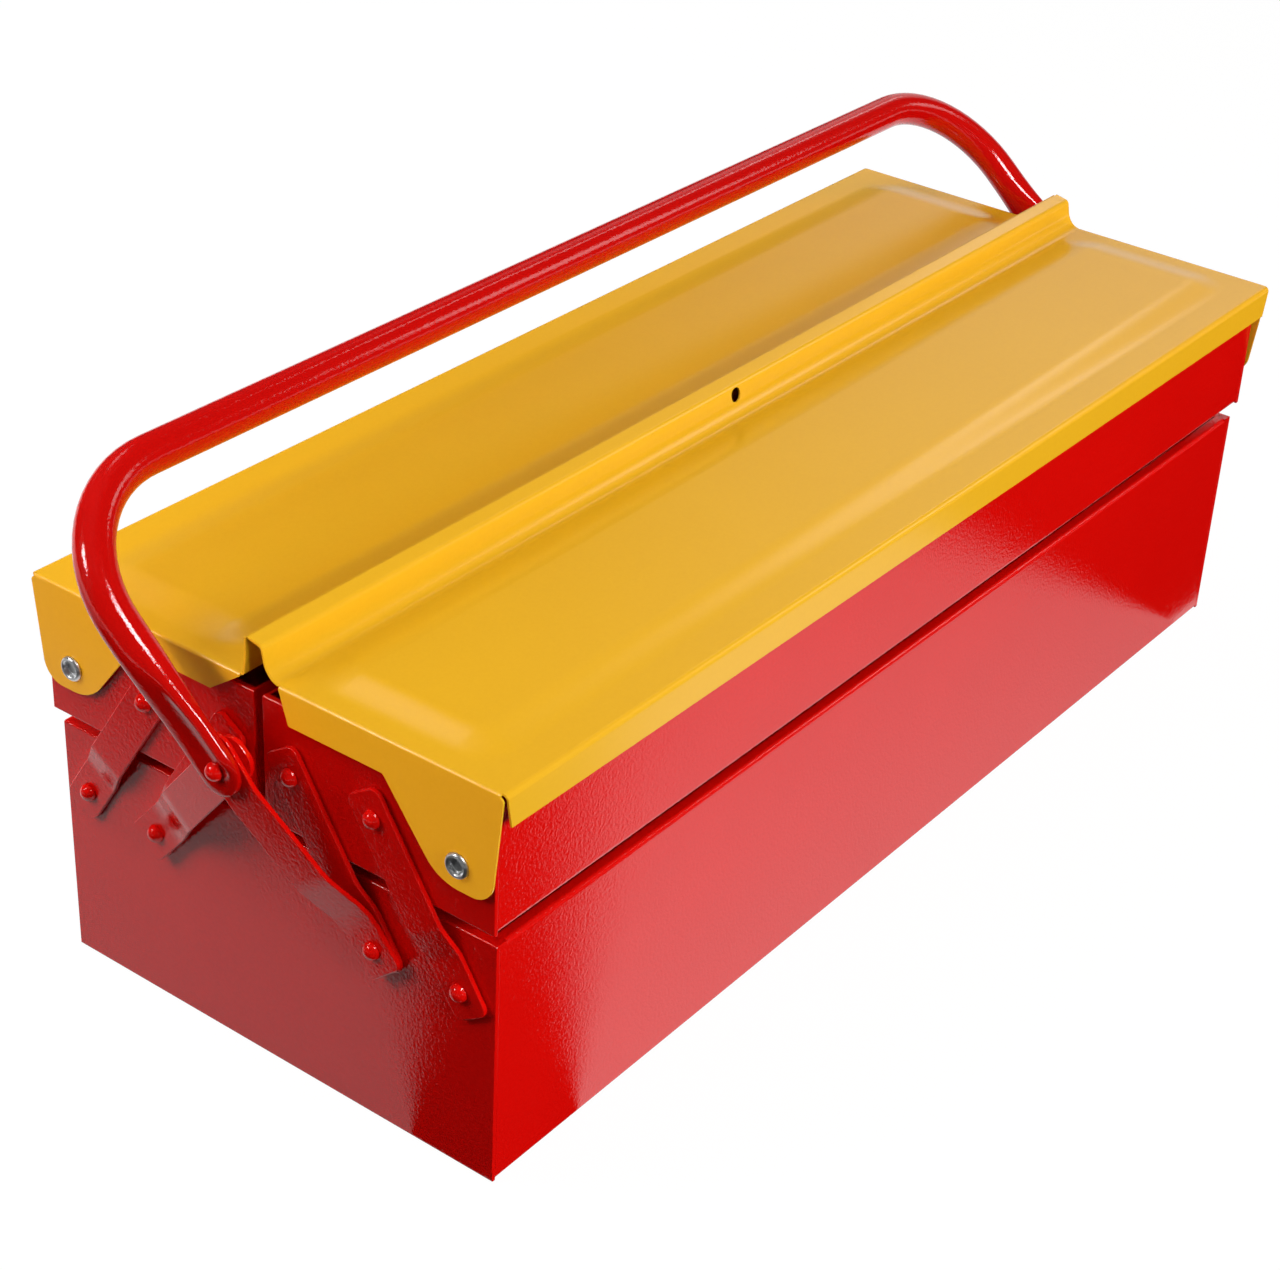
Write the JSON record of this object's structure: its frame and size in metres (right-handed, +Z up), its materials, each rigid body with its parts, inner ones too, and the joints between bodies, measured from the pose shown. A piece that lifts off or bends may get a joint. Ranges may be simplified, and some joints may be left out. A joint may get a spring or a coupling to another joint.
{
  "type": "cantilever tool box",
  "caption": "Steel cantilever tool box: a deep lower box, upper trays that swing out on links, hinged lids with a padlock hole and a folding tube handle.",
  "frame": {"origin": "middle of the underside of the lower box", "axes": "+X along the box, -Y to the front where the ribbed lid is, +Z up"},
  "size_m": [0.59, 0.2206, 0.2176],
  "materials": {
    "red_paint": "gloss",
    "yellow_paint": "gloss",
    "zinc": "satin"
  },
  "bodies": {
    "lower_box": {"lower_box_channel": "red_paint", "lower_end_panel_left": "red_paint", "lower_end_panel_right": "red_paint", "front_handle_strap_left": "red_paint", "front_handle_strap_right": "red_paint", "rear_handle_strap_left": "red_paint", "rear_handle_strap_right": "red_paint", "lower_outer_rivets": "red_paint", "lower_inner_rivets": "red_paint", "handle_rivets": "red_paint"},
    "front_outer_links": {"front_outer_link_left": "red_paint", "front_outer_link_right": "red_paint"},
    "front_inner_links": {"front_inner_link_left": "red_paint", "front_inner_link_right": "red_paint"},
    "front_tray": {"front_tray_channel": "red_paint", "front_tray_end_left": "red_paint", "front_tray_end_right": "red_paint", "front_upper_outer_rivets": "red_paint", "front_upper_inner_rivets": "red_paint", "front_lid_eyelets": "zinc", "front_lid_washers": "zinc"},
    "front_lid": {"front_lid": "yellow_paint"},
    "rear_outer_links": {"rear_outer_link_left": "red_paint", "rear_outer_link_right": "red_paint"},
    "rear_inner_links": {"rear_inner_link_left": "red_paint", "rear_inner_link_right": "red_paint"},
    "rear_tray": {"rear_tray_channel": "red_paint", "rear_tray_end_left": "red_paint", "rear_tray_end_right": "red_paint", "rear_upper_outer_rivets": "red_paint", "rear_upper_inner_rivets": "red_paint", "rear_lid_eyelets": "zinc", "rear_lid_washers": "zinc"},
    "rear_lid": {"rear_lid": "yellow_paint"},
    "handle": {"handle_tube": "red_paint"}
  },
  "joints": [
    {"name": "front_fold", "type": "hinge", "parent": "lower_box", "child": "front_outer_links", "pos_m": [0, -0.09, 0.0785], "axis": [1, 0, 0], "range_deg": [0, 74.2]},
    {"name": "front_inner_fold", "type": "hinge", "parent": "lower_box", "child": "front_inner_links", "pos_m": [0, -0.0525, 0.0785], "axis": [1, 0, 0], "range_deg": [0, 74.2]},
    {"name": "front_tray_level", "type": "hinge", "parent": "front_outer_links", "child": "front_tray", "pos_m": [0, -0.054, 0.1344], "axis": [1, 0, 0], "range_deg": [-74.2, 0]},
    {"name": "front_lid_hinge", "type": "hinge", "parent": "front_tray", "child": "front_lid", "pos_m": [0, -0.091, 0.1332], "axis": [1, 0, 0], "range_deg": [0, 105]},
    {"name": "rear_fold", "type": "hinge", "parent": "lower_box", "child": "rear_outer_links", "pos_m": [0, 0.09, 0.0785], "axis": [-1, 0, 0], "range_deg": [0, 74.2]},
    {"name": "rear_inner_fold", "type": "hinge", "parent": "lower_box", "child": "rear_inner_links", "pos_m": [0, 0.0525, 0.0785], "axis": [-1, 0, 0], "range_deg": [0, 74.2]},
    {"name": "rear_tray_level", "type": "hinge", "parent": "rear_outer_links", "child": "rear_tray", "pos_m": [0, 0.054, 0.1344], "axis": [-1, 0, 0], "range_deg": [-74.2, 0]},
    {"name": "rear_lid_hinge", "type": "hinge", "parent": "rear_tray", "child": "rear_lid", "pos_m": [0, 0.091, 0.1332], "axis": [-1, 0, 0], "range_deg": [0, 30]},
    {"name": "handle_fold", "type": "hinge", "parent": "lower_box", "child": "handle", "pos_m": [0, 0, 0.139], "axis": [1, 0, 0], "range_deg": [-7, 113.6]}
  ],
  "couplings": [
    {"joint": "front_inner_fold", "follows": "front_fold", "ratio": 1},
    {"joint": "front_tray_level", "follows": "front_fold", "ratio": -1},
    {"joint": "rear_inner_fold", "follows": "rear_fold", "ratio": 1},
    {"joint": "rear_tray_level", "follows": "rear_fold", "ratio": -1}
  ]
}
